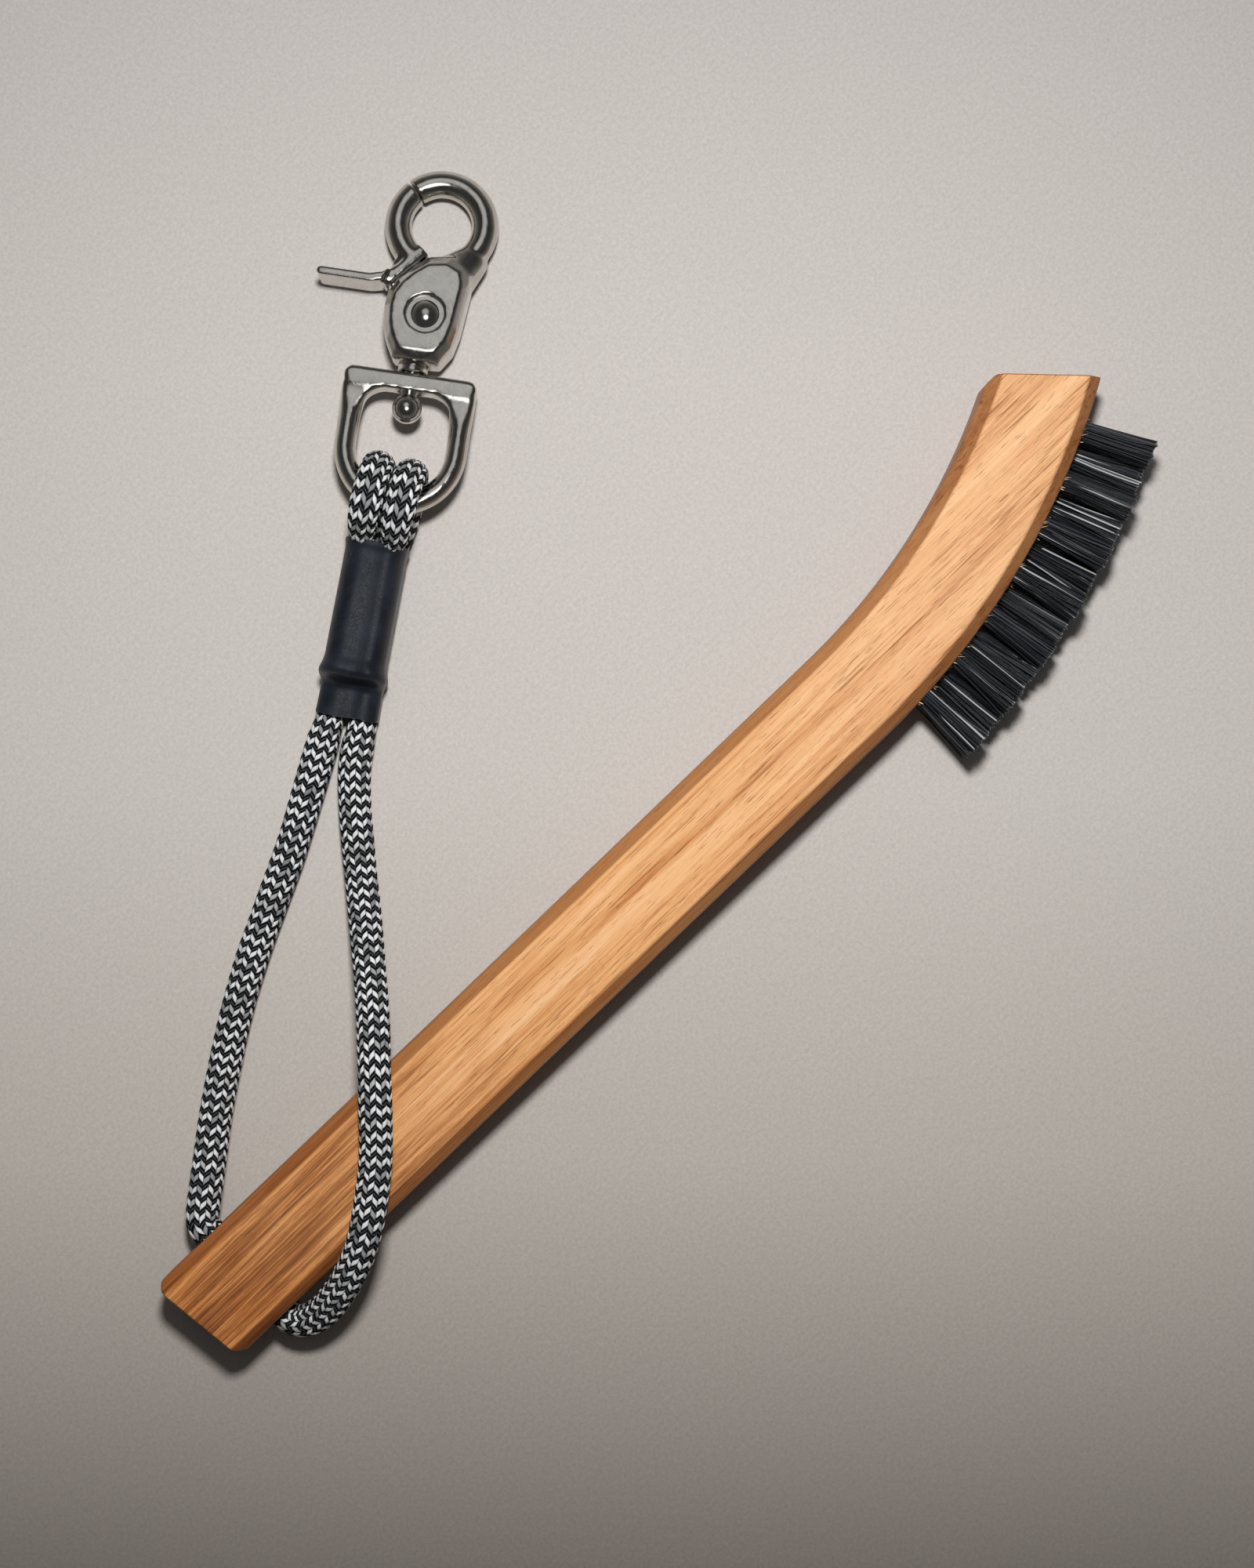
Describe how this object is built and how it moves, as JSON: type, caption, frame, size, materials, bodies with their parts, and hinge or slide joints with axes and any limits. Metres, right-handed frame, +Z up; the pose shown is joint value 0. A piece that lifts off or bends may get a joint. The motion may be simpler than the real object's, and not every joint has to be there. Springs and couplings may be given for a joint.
{
  "type": "groove brush",
  "caption": "Golf club cleaning brush: curved chamfered wood handle, rows of stiff nylon tufts, braided cord lanyard and a swivel trigger snap",
  "frame": {"origin": "on the handle's lower flat, under the axis of the lanyard hole", "axes": "+X along the straight grip from the lanyard hole towards the head, +Z up out of the broad face, the bristles point to -Y"},
  "size_m": [0.2326, 0.1447, 0.0205],
  "materials": {
    "wood": "oiled, satin",
    "bristle": "black nylon filament",
    "anchor_wire": "drawn",
    "cord": "braided polyester, black and light grey",
    "shrink_tube": "semi-matt heat-shrink tube",
    "ferrule": "crimped",
    "nickel": "nickel plated, polished",
    "spring_steel": "drawn"
  },
  "bodies": {
    "handle": {"handle": "wood", "tuft_low_1": "bristle", "tuft_low_2": "bristle", "tuft_low_3": "bristle", "tuft_low_4": "bristle", "tuft_low_5": "bristle", "tuft_low_6": "bristle", "tuft_low_7": "bristle", "tuft_mid_1": "bristle", "tuft_mid_2": "bristle", "tuft_mid_3": "bristle", "tuft_mid_4": "bristle", "tuft_mid_5": "bristle", "tuft_mid_6": "bristle", "tuft_top_1": "bristle", "tuft_top_2": "bristle", "tuft_top_3": "bristle", "tuft_top_4": "bristle", "tuft_top_5": "bristle", "tuft_top_6": "bristle", "tuft_top_7": "bristle", "tuft_anchors": "anchor_wire"},
    "lanyard": {"lanyard_cord": "cord", "cord_eye_left": "cord", "cord_eye_right": "cord", "splice_strands": "cord", "crimp_ferrule": "ferrule", "shrink_sleeve": "shrink_tube"},
    "bail": {"bail": "nickel"},
    "hook": {"swivel_post": "nickel", "hook_body": "nickel", "gate_rivet": "nickel", "gate_spring": "spring_steel"},
    "gate": {"trigger_gate": "nickel"}
  },
  "joints": [
    {"name": "lanyard_swing", "type": "hinge", "parent": "handle", "child": "lanyard", "pos_m": [0, 0, 0.007], "axis": [0, -1, 0], "range_deg": [0, 150]},
    {"name": "bail_swing", "type": "hinge", "parent": "lanyard", "child": "bail", "pos_m": [0.11414, 0.08235, 0.00835], "axis": [0.5327, -0.8463, 0], "range_deg": [-100, 110]},
    {"name": "snap_swivel", "type": "hinge", "parent": "bail", "child": "hook", "pos_m": [0.13172, 0.09503, 0.00621], "axis": [0.7855, 0.6115, -0.0958], "continuous": true},
    {"name": "gate_hinge", "type": "hinge", "parent": "hook", "child": "gate", "pos_m": [0.1416, 0.10146, 0.00508], "axis": [0.0756, 0.0589, 0.9954], "range_deg": [0, 25], "stiffness_Nm_per_rad": 0.03, "springref_deg": -28.65}
  ]
}
